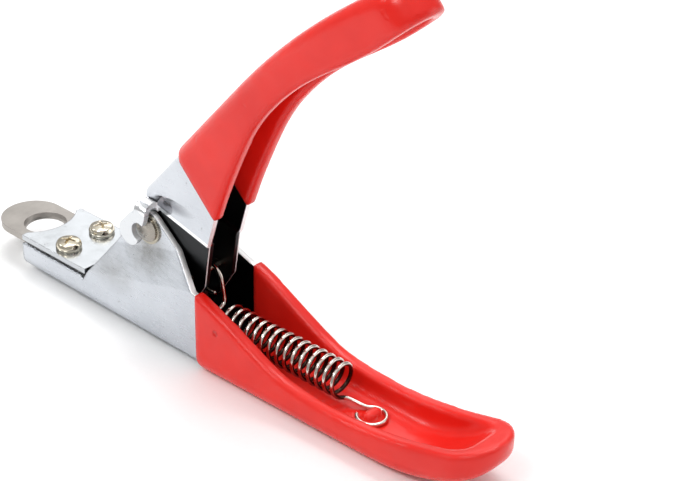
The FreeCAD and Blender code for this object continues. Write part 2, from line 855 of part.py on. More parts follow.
def screw_holes(name, low, height, clearance):
    """Two through holes on the screw centres."""
    return [
        add_post(
            "%s_%s_hole" % (name, side),
            "Sizes.screw_radius + %s" % clearance,
            height,
            ("Sizes.screw_reach", y, low),
        )
        for side, y in SCREW_SPOTS
    ]


def build_cover_plate():
    plate = add_box(
        "cover_blank",
        ("0", "-Sizes.head_half_width", RING_TOP),
        "Sizes.cover_length",
        "2 * Sizes.head_half_width",
        "Sizes.cover_thickness",
    )
    bite = add_post(
        "cover_bite",
        "Sizes.cover_arc_radius",
        "Sizes.cover_thickness + 2",
        ("Sizes.cover_arc_depth - Sizes.cover_arc_radius", "0", RING_TOP + " - 1"),
    )
    holes = screw_holes("cover", RING_TOP + " - 1", "Sizes.cover_thickness + 2", "Sizes.slide_gap")
    finish_node(cut("cover_cut", plate, [bite] + holes), "cover_plate")


def build_ring_blade():
    tail = add_box(
        "ring_tail",
        (BED_HALF + " - Sizes.ring_reach", "-" + BED_HALF, GUIDE_TOP),
        "Sizes.cover_length + Sizes.ring_reach - " + BED_HALF,
        "2 * " + BED_HALF,
        "Sizes.ring_thickness",
    )
    nose = add_post(
        "ring_nose",
        BED_HALF,
        "Sizes.ring_thickness",
        (BED_HALF + " - Sizes.ring_reach", "0", GUIDE_TOP),
    )
    hole = add_post(
        "ring_hole",
        "Sizes.ring_hole_radius - Sizes.ring_bevel",
        "Sizes.ring_thickness + 2",
        ("-Sizes.ring_hole_centre", "0", GUIDE_TOP + " - 1"),
    )
    bevel = add_primitive(
        "Cone",
        "ring_bevel",
        {
            "Radius1": "Sizes.ring_hole_radius - Sizes.ring_bevel",
            "Radius2": "Sizes.ring_hole_radius",
            "Height": "Sizes.ring_bevel_depth",
        },
        ("-Sizes.ring_hole_centre", "0", RING_TOP + " - Sizes.ring_bevel_depth"),
    )
    holes = screw_holes("ring", GUIDE_TOP + " - 1", "Sizes.ring_thickness + 2", "Sizes.slide_gap")
    finish_node(cut("ring_cut", fuse("ring_blank", [tail, nose]), [hole, bevel] + holes), "ring_blade")


def build_blade_guide():
    block = add_box(
        "guide_blank",
        ("Sizes.guide_setback", "-" + BED_HALF, "Sizes.steel_gauge"),
        "Sizes.guide_length",
        "2 * " + BED_HALF,
        "Sizes.guide_height",
    )
    groove = add_box(
        "guide_groove",
        ("-1", "-Sizes.stem_half_width - Sizes.slide_gap", CARRIER_LOW + " - Sizes.running_gap"),
        "Sizes.guide_length + Sizes.guide_setback + 2",
        "2 * (Sizes.stem_half_width + Sizes.slide_gap)",
        "Sizes.guide_height",
    )
    pocket = add_box(
        "guide_pocket",
        (
            "Sizes.guide_setback - 1",
            "-Sizes.blade_half_width - Sizes.slide_gap",
            BLADE_LOW + " - Sizes.running_gap",
        ),
        "Sizes.guide_pocket_length",
        "2 * (Sizes.blade_half_width + Sizes.slide_gap)",
        "Sizes.guide_height",
    )
    corners = [
        add_box(
            "guide_corner_" + side,
            ("0", y, "0"),
            "Sizes.guide_length + 2",
            BEND_ROOM + " + 1",
            "Sizes.steel_gauge + " + BEND_ROOM,
        )
        for side, y in (("near", "-%s - 1" % BED_HALF), ("far", "%s - %s" % (BED_HALF, BEND_ROOM)))
    ]
    floor = "Sizes.steel_gauge + Sizes.screw_floor_gap - Sizes.running_gap"
    holes = screw_holes("guide", floor, "Sizes.guide_height", "Sizes.running_gap")
    finish_node(cut("guide_cut", block, [groove, pocket] + corners + holes), "blade_guide")


def build_head_screws():
    """Two pan-head screws with a cross recess; the shank ends above the web."""
    for side, y in SCREW_SPOTS:
        shank = add_post(
            "screw_shank_" + side,
            "Sizes.screw_radius",
            COVER_TOP + " - Sizes.steel_gauge - Sizes.screw_floor_gap",
            ("0", "0", "Sizes.steel_gauge + Sizes.screw_floor_gap - " + COVER_TOP),
        )
        head_sizes = ("Sizes.screw_head_radius", "Sizes.screw_head_height")
        head = add_post("screw_head_" + side, *head_sizes, ("0", "0", "0"))
        dome = add_primitive(
            "Sphere",
            "screw_dome_" + side,
            {"Radius": "Sizes.screw_head_radius * 1.25"},
            ("0", "0", "Sizes.screw_head_height - Sizes.screw_head_radius * 1.25"),
        )
        pan = doc.addObject("Part::MultiCommon", "screw_pan_" + side)
        pan.Shapes = [head, dome]
        slots = [
            add_box(
                "screw_slot_%s_%s" % (way, side),
                (
                    "-%s / 2" % length,
                    "-%s / 2" % width,
                    "Sizes.screw_head_height - Sizes.screw_recess_depth",
                ),
                length,
                width,
                "Sizes.screw_head_height",
            )
            for way, length, width in (
                ("long", "Sizes.screw_recess_length", "Sizes.screw_recess_width"),
                ("wide", "Sizes.screw_recess_width", "Sizes.screw_recess_length"),
            )
        ]
        screw = cut("screw_cut_" + side, fuse("screw_blank_" + side, [shank, pan]), slots)
        place = (SHIFT_X + " + Sizes.screw_reach", y, LIFT_Z + " + " + COVER_TOP)
        finish_node(screw, "head_screw_" + side, place)


def build_cutting_blade():
    head = add_box(
        "blade_head",
        ("Sizes.blade_setback", "-Sizes.blade_half_width", BLADE_LOW),
        "Sizes.blade_head_length",
        "2 * Sizes.blade_half_width",
        "Sizes.blade_thickness",
    )
    stem = add_box(
        "blade_stem",
        ("Sizes.blade_setback + Sizes.blade_neck", "-Sizes.stem_half_width", BLADE_LOW),
        "Sizes.blade_length - Sizes.blade_neck",
        "2 * Sizes.stem_half_width",
        "Sizes.blade_thickness",
    )
    slope = doc.addObject("Part::Wedge", "blade_edge")
    for prop, expression in {
        "Xmin": "0", "Ymin": "0", "Zmin": "0", "X2min": "0", "Z2min": "0",
        "Xmax": "Sizes.blade_bevel", "X2max": "0",
        "Ymax": "Sizes.blade_thickness - Sizes.blade_land",
        "Zmax": "2 * Sizes.blade_half_width + 2", "Z2max": "2 * Sizes.blade_half_width + 2",
    }.items():
        slope.setExpression(prop, expression)
    slope.Placement = Placement(Vector(), Rotation(Vector(1, 0, 0), 90))
    for axis, expression in zip("xyz", ("Sizes.blade_setback", "Sizes.blade_half_width + 1", BLADE_LOW)):
        slope.setExpression("Placement.Base." + axis, expression)
    stud_hole = add_post(
        "blade_stud_hole",
        "Sizes.stud_radius + Sizes.running_gap",
        "Sizes.blade_thickness + 2",
        ("Sizes.blade_setback + Sizes.stud_offset", "0", BLADE_LOW + " - 1"),
    )
    finish_node(cut("blade_cut", fuse("blade_blank", [head, stem]), [slope, stud_hole]), "cutting_blade")


DRIVE_REACH = "(Sizes.pivot_reach + Sizes.arm_length * sin(Sizes.swing_angle / 2 * 1deg))"
FORK_HALF = "(Sizes.drive_pin_radius + Sizes.fork_gap)"


def build_blade_carrier():
    bar = add_box(
        "carrier_bar",
        ("Sizes.carrier_start", "-Sizes.stem_half_width", CARRIER_LOW),
        DRIVE_REACH + " - Sizes.carrier_start",
        "2 * Sizes.stem_half_width",
        "Sizes.carrier_thickness",
    )
    fork = add_box(
        "carrier_fork",
        (
            DRIVE_REACH + " - Sizes.fork_cheek - " + FORK_HALF,
            "-Sizes.stem_half_width",
            CARRIER_LOW,
        ),
        "2 * (Sizes.fork_cheek + %s)" % FORK_HALF,
        "2 * Sizes.stem_half_width",
        "Sizes.fork_rise - " + CARRIER_LOW,
    )
    stud = add_post(
        "carrier_stud",
        "Sizes.stud_radius",
        "Sizes.carrier_thickness + Sizes.blade_thickness - 2 * Sizes.running_gap",
        ("Sizes.blade_setback + Sizes.stud_offset", "0", CARRIER_LOW),
    )
    slot = add_box(
        "carrier_slot",
        (
            DRIVE_REACH + " - " + FORK_HALF,
            "-Sizes.stem_half_width - 1",
            "Sizes.pivot_height - Sizes.arm_length - Sizes.drive_pin_radius - Sizes.fork_floor_gap",
        ),
        "2 * " + FORK_HALF,
        "2 * Sizes.stem_half_width + 2",
        "Sizes.fork_rise",
    )
    finish_node(cut("carrier_cut", fuse("carrier_blank", [bar, fork, stud]), [slot]), "blade_carrier")


def build_pivot_washers():
    for side, start in (
        ("near", "-Sizes.ear_half_width - Sizes.washer_thickness"),
        ("far", "Sizes.ear_half_width"),
    ):
        spot = ("Sizes.pivot_reach", start, "Sizes.pivot_height")
        sizes = {"Radius": "Sizes.washer_radius", "Height": "Sizes.washer_thickness"}
        disc = add_primitive("Cylinder", "washer_disc_" + side, sizes, spot, (Vector(1, 0, 0), -90))
        sizes = {"Radius": "Sizes.rivet_radius + Sizes.running_gap", "Height": "Sizes.washer_thickness"}
        eye = add_primitive("Cylinder", "washer_eye_" + side, sizes, spot, (Vector(1, 0, 0), -90))
        finish_node(cut("washer_cut_" + side, disc, [eye]), "pivot_washer_" + side)


# ---------------------------------------------------------------- build and export

main_frame = make_main_frame()
lever_frame = make_lever_frame()
add_shape_node("main_frame", main_frame)
add_shape_node("main_grip", make_main_grip(main_frame))
add_shape_node("lever_frame", lever_frame)
add_shape_node("lever_grip", make_lever_grip(lever_frame))
add_shape_node("pivot_rivet", make_pivot_rivet())
add_shape_node("blade_drive_pin", make_pin(DRIVE, size("drive_pin_radius"), size("arm_half_width")))
add_shape_node("spring_anchor_pin", make_pin(ANCHOR, size("anchor_pin_radius"), size("arm_half_width")))
add_shape_node("return_spring", make_return_spring())
build_pivot_washers()
build_blade_guide()
build_ring_blade()
build_cover_plate()
build_head_screws()
build_blade_carrier()
build_cutting_blade()
doc.recompute()

for item in doc.Objects:
    if "Invalid" in item.State or "Error" in item.State:
        raise RuntimeError("%s did not compute: %s" % (item.Label, item.State))
for item in nodes:
    if item.Shape.isNull() or not item.Shape.isValid():
        raise RuntimeError("%s has no valid shape" % item.Label)

os.makedirs("parts", exist_ok=True)
for item in nodes:
    item.Shape.exportStep(os.path.join("parts", item.Label + ".step"))
    box = item.Shape.BoundBox
    print("%-18s solids %d volume %8.1f  x %.2f..%.2f  y %.2f..%.2f  z %.2f..%.2f" % (
        item.Label, len(item.Shape.Solids), item.Shape.Volume,
        box.XMin, box.XMax, box.YMin, box.YMax, box.ZMin, box.ZMax))
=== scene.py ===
"""Pet nail clipper: materials, dipped grips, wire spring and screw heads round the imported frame.

Metres, in the row frame: X from the ring to the ends of the handles, Y along the pivot, Z up.
"""

import math

import bmesh
import bpy
from mathutils import Matrix, Vector


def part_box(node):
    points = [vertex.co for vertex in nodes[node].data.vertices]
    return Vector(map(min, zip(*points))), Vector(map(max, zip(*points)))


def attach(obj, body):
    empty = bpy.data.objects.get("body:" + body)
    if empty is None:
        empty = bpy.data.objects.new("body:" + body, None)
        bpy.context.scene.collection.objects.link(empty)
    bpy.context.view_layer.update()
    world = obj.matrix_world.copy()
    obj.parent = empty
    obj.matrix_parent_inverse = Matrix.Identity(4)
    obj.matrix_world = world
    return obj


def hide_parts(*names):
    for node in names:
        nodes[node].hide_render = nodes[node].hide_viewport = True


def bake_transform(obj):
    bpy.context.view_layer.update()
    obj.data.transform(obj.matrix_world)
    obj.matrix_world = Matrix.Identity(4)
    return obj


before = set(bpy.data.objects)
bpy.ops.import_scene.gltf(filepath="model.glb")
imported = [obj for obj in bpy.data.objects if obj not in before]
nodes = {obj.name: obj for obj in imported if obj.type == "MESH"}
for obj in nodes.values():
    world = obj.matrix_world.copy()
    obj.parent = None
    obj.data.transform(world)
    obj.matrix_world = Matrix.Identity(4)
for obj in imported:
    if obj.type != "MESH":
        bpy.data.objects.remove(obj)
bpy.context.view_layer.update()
MM = 0.001


def mm(x, y, z):
    return Vector((x, y, z)) * MM


def leaning(degrees):
    """The direction that leans from +X towards +Z by an angle."""
    lean = math.radians(degrees)
    return Vector((math.cos(lean), 0, math.sin(lean)))


# ---------------------------------------------------------------- places that follow from the CAD

rivet_low, rivet_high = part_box("pivot_rivet")
PIVOT = (rivet_low + rivet_high) / 2
pin_low, pin_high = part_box("spring_anchor_pin")
ANCHOR = (pin_low + pin_high) / 2
MAIN_GRIP_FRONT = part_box("main_grip")[0].x
COVER_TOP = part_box("cover_plate")[1].z

# The lever at rest: ALONG its arm towards the handle's end, ABOVE its web.
LEVER_ANGLE = 45
LEVER_GRIP_REACH = 19.2
ALONG = leaning(LEVER_ANGLE)
ABOVE = Vector((-ALONG.z, 0, ALONG.x))
LEVER_GRIP_FRONT = PIVOT + ALONG * LEVER_GRIP_REACH * MM

# The lever's shoulder slopes down to the rear. Its levels are taken square to that slope.
SHOULDER_SLOPE = 13.2
SHOULDER = leaning(90 - SHOULDER_SLOPE)
PIVOT_LEVEL = PIVOT.dot(SHOULDER)
SHOULDER_LEVEL = PIVOT_LEVEL + 5.0 * MM
GLINT_FROM = PIVOT_LEVEL + 4.6 * MM
GLINT_TO = PIVOT_LEVEL + 5.9 * MM

# Half widths that part the channels' faces from each other, and where the painted highlight on the
# cut rims begins.
ARM_HALF = 4.6 * MM
LUG_HALF = 7.3 * MM
RIM_HALF = 4.0 * MM
RIM_LOW = 9.5 * MM

# The spring's sizes, the same as in the CAD.
WIRE = 0.43 * MM
COIL = 3.37 * MM
COIL_LENGTH = 33.0 * MM
TURNS = 15.5
COIL_START = mm(-1.6, 0, 8.1)
PIN_RADIUS = 1.0 * MM
HOOK_CLEARANCE = 0.05 * MM
HOOK_TURN = 285
LOOP = 2.95 * MM
LOOP_CENTRE = mm(38.3, 0, 3.53)
LOOP_START = 150
LOOP_TURN = 300


# ---------------------------------------------------------------- material helpers


def new_material(name):
    mat = bpy.data.materials.new(name)
    mat.use_nodes = True
    tree = mat.node_tree
    tree.nodes.clear()
    out = tree.nodes.new("ShaderNodeOutputMaterial")
    shader = tree.nodes.new("ShaderNodeBsdfPrincipled")
    tree.links.new(shader.outputs["BSDF"], out.inputs["Surface"])
    return mat, tree, shader


def coords(tree, scale=(1, 1, 1)):
    """The piece's own coordinates, in metres, stretched by a scale."""
    source = tree.nodes.new("ShaderNodeTexCoord")
    mapping = tree.nodes.new("ShaderNodeMapping")
    mapping.inputs["Scale"].default_value = scale
    tree.links.new(source.outputs["Object"], mapping.inputs["Vector"])
    return mapping.outputs["Vector"]


def noise(tree, scale, detail=2.0, rough=0.5, stretch=(1, 1, 1)):
    tex = tree.nodes.new("ShaderNodeTexNoise")
    tex.inputs["Scale"].default_value = scale
    tex.inputs["Detail"].default_value = detail
    tex.inputs["Roughness"].default_value = rough
    tree.links.new(coords(tree, stretch), tex.inputs["Vector"])
    return tex.outputs["Fac"]


def ramp(tree, value, stops):
    """A number drawn from stops of (position, grey)."""
    node = tree.nodes.new("ShaderNodeValToRGB")
    node.color_ramp.elements[0].position = stops[0][0]
    node.color_ramp.elements[1].position = stops[-1][0]
    for position, _ in stops[1:-1]:
        node.color_ramp.elements.new(position)
    in_order = sorted(node.color_ramp.elements, key=lambda element: element.position)
    for element, (_, grey) in zip(in_order, stops):
        element.color = (grey, grey, grey, 1)
    tree.links.new(value, node.inputs["Fac"])
    return node.outputs["Color"]


def maths(tree, operation, a, b=None):
    node = tree.nodes.new("ShaderNodeMath")
    node.operation = operation
    for socket, value in zip(node.inputs, (a, b)):
        if value is None:
            continue
        if isinstance(value, (int, float)):
            socket.default_value = value
        else:
            tree.links.new(value, socket)
    return node.outputs["Value"]


def both(tree, a, b):
    """1 where two masks are 1."""
    return maths(tree, "MULTIPLY", a, b)


def either(tree, a, b):
    """1 where one of two masks is 1."""
    return maths(tree, "MAXIMUM", a, b)


def mix(tree, factor, a, b):
    """Blends two colours, each a tuple or an output."""
    node = tree.nodes.new("ShaderNodeMix")
    node.data_type = "RGBA"
    sockets = [s for s in node.inputs if s.type == "RGBA"]
    tree.links.new(factor, node.inputs[0])
    for socket, value in zip(sockets, (a, b)):
        if isinstance(value, tuple):
            socket.default_value = value + (1,)
        else:
            tree.links.new(value, socket)
    return [s for s in node.outputs if s.type == "RGBA"][0]


def bump(tree, height, depth, normal):
    """Relief of a height times a depth, on top of the normal that is already there."""
    node = tree.nodes.new("ShaderNodeBump")
    node.inputs["Strength"].default_value = 1.0
    node.inputs["Distance"].default_value = depth
    tree.links.new(height, node.inputs["Height"])
    tree.links.new(normal, node.inputs["Normal"])
    return node.outputs["Normal"]


def soft_edges(tree, radius):
    node = tree.nodes.new("ShaderNodeBevel")
    node.samples = 6
    node.inputs["Radius"].default_value = radius
    return node.outputs["Normal"]


def spot(tree, centre, radii):
    """1 at a place on the piece, fading to 0 at the given radii."""
    source = tree.nodes.new("ShaderNodeTexCoord")
    shift = tree.nodes.new("ShaderNodeVectorMath")
    shift.operation = "SUBTRACT"
    shift.inputs[1].default_value = centre
    shrink = tree.nodes.new("ShaderNodeVectorMath")
    shrink.operation = "DIVIDE"
    shrink.inputs[1].default_value = radii
    ball = tree.nodes.new("ShaderNodeTexGradient")
    ball.gradient_type = "SPHERICAL"
    tree.links.new(source.outputs["Object"], shift.inputs[0])
    tree.links.new(shift.outputs["Vector"], shrink.inputs[0])
    tree.links.new(shrink.outputs["Vector"], ball.inputs["Vector"])
    return ball.outputs["Fac"]


def place_and_facing(tree):
    """The shaded point's place on the piece and the way its face looks, as two vectors."""
    source = tree.nodes.new("ShaderNodeTexCoord")
    return source.outputs["Object"], source.outputs["Normal"]


def split(tree, vector):
    node = tree.nodes.new("ShaderNodeSeparateXYZ")
    tree.links.new(vector, node.inputs["Vector"])
    return node.outputs


def along_axis(tree, vector, axis):
    dot = tree.nodes.new("ShaderNodeVectorMath")
    dot.operation = "DOT_PRODUCT"
    dot.inputs[1].default_value = axis
    tree.links.new(vector, dot.inputs[0])
    return dot.outputs["Value"]


# ---------------------------------------------------------------- masks

# A face is a side wall where the Y share of its normal is over SIDEWAYS.
SIDEWAYS = 0.35
TOWARDS_WEB_NORMAL = 0.3


def channel_inside(tree, web_normal, half_width, ceiling=None):
    """1 on faces that look into a folded channel, 0 on its outside and on its cut edges."""
    place, facing = place_and_facing(tree)
    at = split(tree, place)
    side = maths(tree, "SIGN", at["Y"])
    outward = maths(tree, "MULTIPLY", side, split(tree, facing)["Y"])
    wall = maths(tree, "LESS_THAN", outward, -SIDEWAYS)
    across = maths(tree, "ABSOLUTE", at["Y"])
    turned = along_axis(tree, facing, web_normal)
    web = maths(tree, "GREATER_THAN", turned, TOWARDS_WEB_NORMAL)
    web = both(tree, web, maths(tree, "LESS_THAN", across, half_width))
    if ceiling is not None:
        web = both(tree, web, maths(tree, "LESS_THAN", at["Z"], ceiling))
    return either(tree, wall, web)


def main_inside(tree):
    return channel_inside(tree, (0, 0, 1), half_width=7.6 * MM, ceiling=5.0 * MM)


def lever_inside(tree):
    """The lever channel's inside, and its arms below the shoulder."""
    inside = channel_inside(tree, tuple(-ABOVE), half_width=3.7 * MM)
    place, _ = place_and_facing(tree)
    level = along_axis(tree, place, tuple(SHOULDER))
    below = maths(tree, "LESS_THAN", level, SHOULDER_LEVEL)
    across = maths(tree, "ABSOLUTE", split(tree, place)["Y"])
    arm = both(tree, below, maths(tree, "LESS_THAN", across, ARM_HALF))
    return either(tree, inside, arm)


def cut_edges(tree):
    """1 on the sheet's sheared rims, which scatter the light and get a painted highlight, a
    near-white colour.
    """
    place, facing = place_and_facing(tree)
    at = split(tree, place)
    turned = maths(tree, "ABSOLUTE", split(tree, facing)["Y"])
    flat = maths(tree, "LESS_THAN", turned, SIDEWAYS)
    high = maths(tree, "GREATER_THAN", at["Z"], RIM_LOW)
    outer = maths(tree, "GREATER_THAN", maths(tree, "ABSOLUTE", at["Y"]), RIM_HALF)
    return both(tree, flat, both(tree, high, outer))


def pivot_lug_highlight(tree):
    """1 on the lever's lugs, which stand out at the sides and are painted lighter than the wall
    behind them: a painted highlight.
    """
    place, _ = place_and_facing(tree)
    across = maths(tree, "ABSOLUTE", split(tree, place)["Y"])
    return maths(tree, "GREATER_THAN", across, LUG_HALF)


def shoulder_glint(tree):
    """1 on the narrow bright band along the shoulder, on the outer walls."""
    place, _ = place_and_facing(tree)
    level = along_axis(tree, place, tuple(SHOULDER))
    above = maths(tree, "GREATER_THAN", level, GLINT_FROM)
    below = maths(tree, "LESS_THAN", level, GLINT_TO)
    across = maths(tree, "ABSOLUTE", split(tree, place)["Y"])
    outer = maths(tree, "GREATER_THAN", across, ARM_HALF)
    return both(tree, both(tree, above, below), outer)


# Where the painted shade on the coil's wire gives way to its bright colour: outwards from its
# middle, and upwards from its underside.
BRIGHT_FROM = COIL - 0.12 * MM
BRIGHT_SPAN = 0.4 * MM
UNDERSIDE = 3.4 * MM
UPPER_SPAN = 6.25 * MM
COIL_END = COIL_START.x + COIL_LENGTH + 0.4 * MM


def coil_painted_shade(tree):
    """1 on the wire's inner and lower sides, where shade is painted, 0 on the coil's outside and on
    the rear loop.
    """
    place, _ = place_and_facing(tree)
    at = split(tree, place)
    height = maths(tree, "SUBTRACT", at["Z"], COIL_START.z)
    across_squared = maths(tree, "MULTIPLY", at["Y"], at["Y"])
    height_squared = maths(tree, "MULTIPLY", height, height)
    reach = maths(tree, "SQRT", maths(tree, "ADD", across_squared, height_squared))
    outwards = maths(tree, "SUBTRACT", reach, BRIGHT_FROM)
    outwards = maths(tree, "MULTIPLY", outwards, 1 / BRIGHT_SPAN)
    outer = ramp(tree, outwards, [(0.0, 0.0), (0.8, 1.0)])
    upwards = maths(tree, "ADD", height, UNDERSIDE)
    upwards = maths(tree, "MULTIPLY", upwards, 1 / UPPER_SPAN)
    upper = ramp(tree, upwards, [(0.0, 0.16), (0.75, 1.0)])
    beyond = maths(tree, "GREATER_THAN", at["X"], COIL_END)
    bright = either(tree, both(tree, outer, upper), beyond)
    return maths(tree, "SUBTRACT", 1.0, bright)


# ---------------------------------------------------------------- materials

SHADOW = (0.030, 0.031, 0.033)
# Near-white on the cut rims: a painted highlight.
SHEARED_EDGE_HIGHLIGHT = (0.95, 0.95, 0.95)
# Lighter silver on the lugs: a painted highlight.
LUG_PAINTED_HIGHLIGHT = (0.69, 0.71, 0.73)
GLINT = (0.97, 0.98, 1.0)
COIL_PAINTED_SHADE = (0.05, 0.028, 0.022)
PORE = (0.16, 0.15, 0.14)
DARK_PATCH_AND_SHADOW = (0.20, 0.19, 0.17)
DENT_PAINTED_SHADE = (0.10, 0.10, 0.12)


def finish_surface(tree, shader, colour, roughness, normal):
    tree.links.new(colour, shader.inputs["Base Color"])
    tree.links.new(roughness, shader.inputs["Roughness"])
    tree.links.new(normal, shader.inputs["Normal"])


def plated(name, bright, dull, rough, edge, dark_patches_and_shadows=(), dents=(), layers=()):
    """Bright plating with faint clouding, pores and fine scuffs.

    A darker patch or painted shadow is (centre, radii, strength), and a dent (centre, radii, depth)
    with painted shade in its hollow. A layer is (mask, colour, added roughness), and a later layer
    lies over an earlier one.
    """
    mat, tree, shader = new_material(name)
    cloud = ramp(tree, noise(tree, 85, detail=3), [(0.3, 0.0), (0.72, 1.0)])
    colour = mix(tree, cloud, dull, bright)
    pores = ramp(tree, noise(tree, 950, rough=0.6), [(0.70, 0.0), (0.76, 1.0)])
    colour = mix(tree, maths(tree, "MULTIPLY", pores, 0.5), colour, PORE)
    # Each patch darkens the plating; a patch can be a painted shadow.
    for centre, radii, strength in dark_patches_and_shadows:
        streaks = noise(tree, 380, detail=3, rough=0.6)
        veil = maths(tree, "MULTIPLY", spot(tree, centre, radii), streaks)
        colour = mix(tree, maths(tree, "MULTIPLY", veil, strength), colour, DARK_PATCH_AND_SHADOW)
    scuff = noise(tree, 260, detail=3, rough=0.65, stretch=(1, 1, 9))
    scuff = ramp(tree, scuff, [(0.45, 0.0), (0.8, 1.0)])
    roughness = maths(tree, "ADD", maths(tree, "MULTIPLY", scuff, 0.14), rough)
    normal = soft_edges(tree, edge)
    normal = bump(tree, noise(tree, 140), 0.1 * MM, normal)
    normal = bump(tree, noise(tree, 1900, rough=0.6), 0.004 * MM, normal)
    for centre, radii, depth in dents:
        hollow = maths(tree, "SMOOTH_MIN", spot(tree, centre, radii), 1.0)
        # Each dent's hollow is also darkened: painted shade.
        colour = mix(tree, maths(tree, "MULTIPLY", hollow, 0.8), colour, DENT_PAINTED_SHADE)
        normal = bump(tree, maths(tree, "MULTIPLY", hollow, -1.0), depth, normal)
    for mask, layer_colour, added in layers:
        cover = mask(tree)
        colour = mix(tree, cover, colour, layer_colour)
        if added:
            roughness = maths(tree, "ADD", roughness, maths(tree, "MULTIPLY", cover, added))
    shader.inputs["Metallic"].default_value = 1.0
    finish_surface(tree, shader, colour, roughness, normal)
    return mat


def brushed(name, bright, dull, rough, stretch):
    """Ground steel: fine lines along one way and a soft patina."""
    mat, tree, shader = new_material(name)
    cloud = ramp(tree, noise(tree, 160, detail=4, rough=0.6), [(0.3, 0.0), (0.7, 1.0)])
    colour = mix(tree, cloud, dull, bright)
    lines = noise(tree, 1100, detail=3, rough=0.6, stretch=stretch)
    roughness = maths(tree, "ADD", maths(tree, "MULTIPLY", lines, 0.22), rough)
    normal = bump(tree, lines, 0.012 * MM, soft_edges(tree, 0.2 * MM))
    shader.inputs["Metallic"].default_value = 1.0
    finish_surface(tree, shader, colour, roughness, normal)
    return mat


def vinyl(name):
    """Glossy dipped vinyl: slow waves, fine peel, shallow pits and one larger pit at the front."""
    mat, tree, shader = new_material(name)
    tone = ramp(tree, noise(tree, 70, detail=3), [(0.3, 0.0), (0.7, 1.0)])
    colour = mix(tree, tone, (0.69, 0.012, 0.007), (0.80, 0.021, 0.013))
    peel = noise(tree, 620)
    roughness = maths(tree, "ADD", maths(tree, "MULTIPLY", peel, 0.10), 0.17)
    pits = ramp(tree, noise(tree, 420, detail=1), [(0.74, 1.0), (0.80, 0.0)])
    front_pit = spot(tree, mm(5.3, -9.5, 11.7), mm(0.7, 0.7, 0.7))
    normal = bump(tree, noise(tree, 110), 0.3 * MM, soft_edges(tree, 1.3 * MM))
    normal = bump(tree, peel, 0.008 * MM, normal)
    normal = bump(tree, pits, 0.04 * MM, normal)
    normal = bump(tree, maths(tree, "MULTIPLY", front_pit, -1.0), 0.6 * MM, normal)
    shader.inputs["IOR"].default_value = 1.5
    shader.inputs["Specular IOR Level"].default_value = 0.36
    shader.inputs["Subsurface Weight"].default_value = 0.08
    shader.inputs["Subsurface Radius"].default_value = (1.0, 0.25, 0.15)
    shader.inputs["Subsurface Scale"].default_value = 1.2 * MM
    finish_surface(tree, shader, colour, roughness, normal)
    return mat


chrome_plate = plated(
    "plating_bright", (0.57, 0.592, 0.615), (0.47, 0.49, 0.51), rough=0.19, edge=0.22 * MM
)
chrome_main = plated(
    "plating_main_channel",
    (0.61, 0.635, 0.675),
    (0.52, 0.545, 0.585),
    rough=0.22,
    edge=0.8 * MM,
    # The first patch darkens the near wall; the second is a painted shadow of the lever's lug on the
    # ear round the pivot.
    dark_patches_and_shadows=[(mm(-27, -8.6, 12), mm(9, 9, 5), 0.75), (mm(-17.5, -7, 20.5), mm(8, 9, 6.5), 1.5)],
    layers=[(main_inside, SHADOW, 0.10), (cut_edges, SHEARED_EDGE_HIGHLIGHT, 0.35)],
)
chrome_lever = plated(
    "plating_lever_channel",
    (0.63, 0.655, 0.695),
    (0.54, 0.565, 0.605),
    rough=0.20,
    edge=0.22 * MM,
    dents=[
        (mm(-15.0, -5.6, 31.2), mm(4.2, 3.0, 2.2), 0.6 * MM),
        (mm(-10.5, -5.6, 32.0), mm(6.0, 3.0, 1.6), 0.4 * MM),
    ],
    layers=[
        (lever_inside, SHADOW, 0.10),
        (cut_edges, SHEARED_EDGE_HIGHLIGHT, 0.35),
        (pivot_lug_highlight, LUG_PAINTED_HIGHLIGHT, 0),
        (shoulder_glint, GLINT, 0),
    ],
)
nickel_mat = plated(
    "nickel_warm", (0.80, 0.74, 0.62), (0.66, 0.59, 0.46), rough=0.16, edge=0.1 * MM
)
# The rivet and the washers are darker than the other pins: painted shade, as they sit in shadow
# under the lever's lug.
rivet_shaded_mat = plated(
    "rivet_steel_painted_shade", (0.40, 0.37, 0.33), (0.26, 0.24, 0.21), rough=0.26, edge=0.1 * MM
)
washer_shaded_mat = plated(
    "washer_steel_painted_shade", (0.50, 0.46, 0.38), (0.34, 0.31, 0.25), rough=0.26, edge=0.08 * MM
)
wire_mat = plated(
    "spring_wire_bright",
    (0.86, 0.78, 0.72),
    (0.62, 0.54, 0.48),
    rough=0.15,
    edge=0.05 * MM,
    # Painted shade on the coil's inner and lower sides.
    layers=[(coil_painted_shade, COIL_PAINTED_SHADE, 0)],
)
ring_mat = brushed(
    "ring_steel_matt", (0.47, 0.44, 0.41), (0.37, 0.345, 0.32), rough=0.36, stretch=(1, 0.15, 1)
)
blade_mat = brushed(
    "blade_steel_ground", (0.62, 0.62, 0.63), (0.5, 0.5, 0.51), rough=0.2, stretch=(0.15, 1, 1)
)
vinyl_mat = vinyl("vinyl_red")

LOOKS = {
    "main_frame": chrome_main,
    "lever_frame": chrome_lever,
    "cover_plate": chrome_plate,
    "ring_blade": ring_mat,
    "blade_guide": chrome_plate,
    "cutting_blade": blade_mat,
    "blade_carrier": blade_mat,
    "pivot_rivet": rivet_shaded_mat,
    "pivot_washer_near": washer_shaded_mat,
    "pivot_washer_far": washer_shaded_mat,
    "blade_drive_pin": nickel_mat,
    "spring_anchor_pin": nickel_mat,
    "head_screw_near": nickel_mat,
    "head_screw_far": nickel_mat,
    "main_grip": vinyl_mat,
    "lever_grip": vinyl_mat,
    "return_spring": wire_mat,
}
for name, mat in LOOKS.items():
    mesh = nodes[name].data
    mesh.materials.clear()
    mesh.materials.append(mat)


# ---------------------------------------------------------------- mesh helpers


def link(obj):
    bpy.context.scene.collection.objects.link(obj)
    return obj


